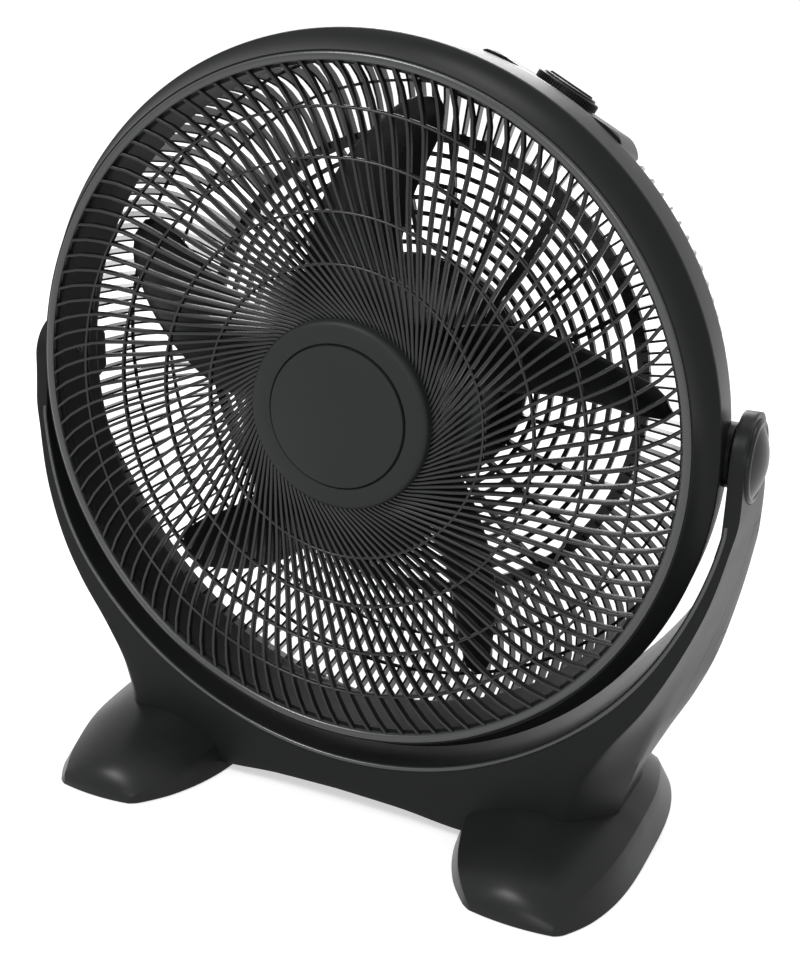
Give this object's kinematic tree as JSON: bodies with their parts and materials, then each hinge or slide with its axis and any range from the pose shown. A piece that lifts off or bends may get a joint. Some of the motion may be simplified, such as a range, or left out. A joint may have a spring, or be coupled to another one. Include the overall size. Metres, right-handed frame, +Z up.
{
  "type": "air circulator fan",
  "caption": "Round black air circulator fan whose head tilts in a U-shaped yoke on long feet, with swirled front grille, rear basket and a speed knob on top.",
  "frame": {"origin": "on the ground, under the middle of the head's tilt axis", "axes": "+Z up; the fan blows towards -Y; +X is to the right seen from the front"},
  "size_m": [0.5266, 0.234, 0.5322],
  "materials": {
    "black_plastic": "satin black moulded plastic with a very fine grain",
    "grille_plastic": "satin black moulded plastic, a little smoother",
    "rubber": "matt black rubber",
    "steel": "plain steel",
    "motor_steel": "dark painted and laminated steel",
    "copper_wire": "enamelled copper wire",
    "zinc_plate": "zinc plated",
    "capacitor_shell": "smooth pale plastic",
    "switch_plastic": "plain dark plastic"
  },
  "bodies": {
    "stand": {"yoke_front_shell": "black_plastic", "yoke_rear_shell": "black_plastic", "foot_right": "black_plastic", "foot_left": "black_plastic", "pad_front_right": "rubber", "pad_front_left": "rubber", "pad_rear_right": "rubber", "pad_rear_left": "rubber", "foot_screw_front_right": "steel", "foot_screw_front_left": "steel", "foot_screw_rear_right": "steel", "foot_screw_rear_left": "steel", "yoke_screw_base_right": "steel", "yoke_screw_base_left": "steel", "yoke_screw_arm_right": "steel", "yoke_screw_arm_left": "steel", "pivot_cap_right": "black_plastic", "pivot_cap_left": "black_plastic"},
    "head": {"front_bezel": "black_plastic", "air_duct": "black_plastic", "front_grille": "grille_plastic", "hub_badge": "black_plastic", "rear_grille": "black_plastic", "control_housing": "black_plastic", "control_cover": "black_plastic", "rotary_switch": "switch_plastic", "head_screw_1": "steel", "head_screw_2": "steel", "head_screw_3": "steel", "head_screw_4": "steel", "motor_end_bell": "motor_steel", "motor_housing": "motor_steel", "stator_core": "motor_steel", "winding_front": "copper_wire", "winding_rear": "copper_wire", "front_bearing": "steel", "rear_bearing": "steel", "motor_screw_1": "steel", "motor_screw_2": "steel", "motor_screw_3": "steel", "motor_screw_4": "steel", "motor_rear_cover": "black_plastic", "cord_grommet": "rubber", "run_capacitor": "capacitor_shell", "pivot_bolt_right": "zinc_plate", "pivot_bolt_left": "zinc_plate", "pivot_nut_right": "zinc_plate", "pivot_nut_left": "zinc_plate", "friction_washer_right": "rubber", "friction_washer_left": "rubber"},
    "blade": {"fan_blade": "black_plastic", "motor_shaft": "steel", "rotor_core": "motor_steel", "blade_nut": "black_plastic"},
    "knob": {"speed_knob": "black_plastic", "switch_shaft": "steel"}
  },
  "joints": [
    {"name": "head_tilt", "type": "hinge", "parent": "stand", "child": "head", "pos_m": [0, 0, 0.29], "axis": [-1, 0, 0], "range_deg": [-20, 90]},
    {"name": "blade_spin", "type": "hinge", "parent": "head", "child": "blade", "pos_m": [0, 0, 0.29], "axis": [0, 1, 0], "continuous": true},
    {"name": "speed_turn", "type": "hinge", "parent": "head", "child": "knob", "pos_m": [0.1141, 0.032, 0.49166], "axis": [-0.4788, -0.2334, -0.8463], "range_deg": [0, 135]}
  ]
}
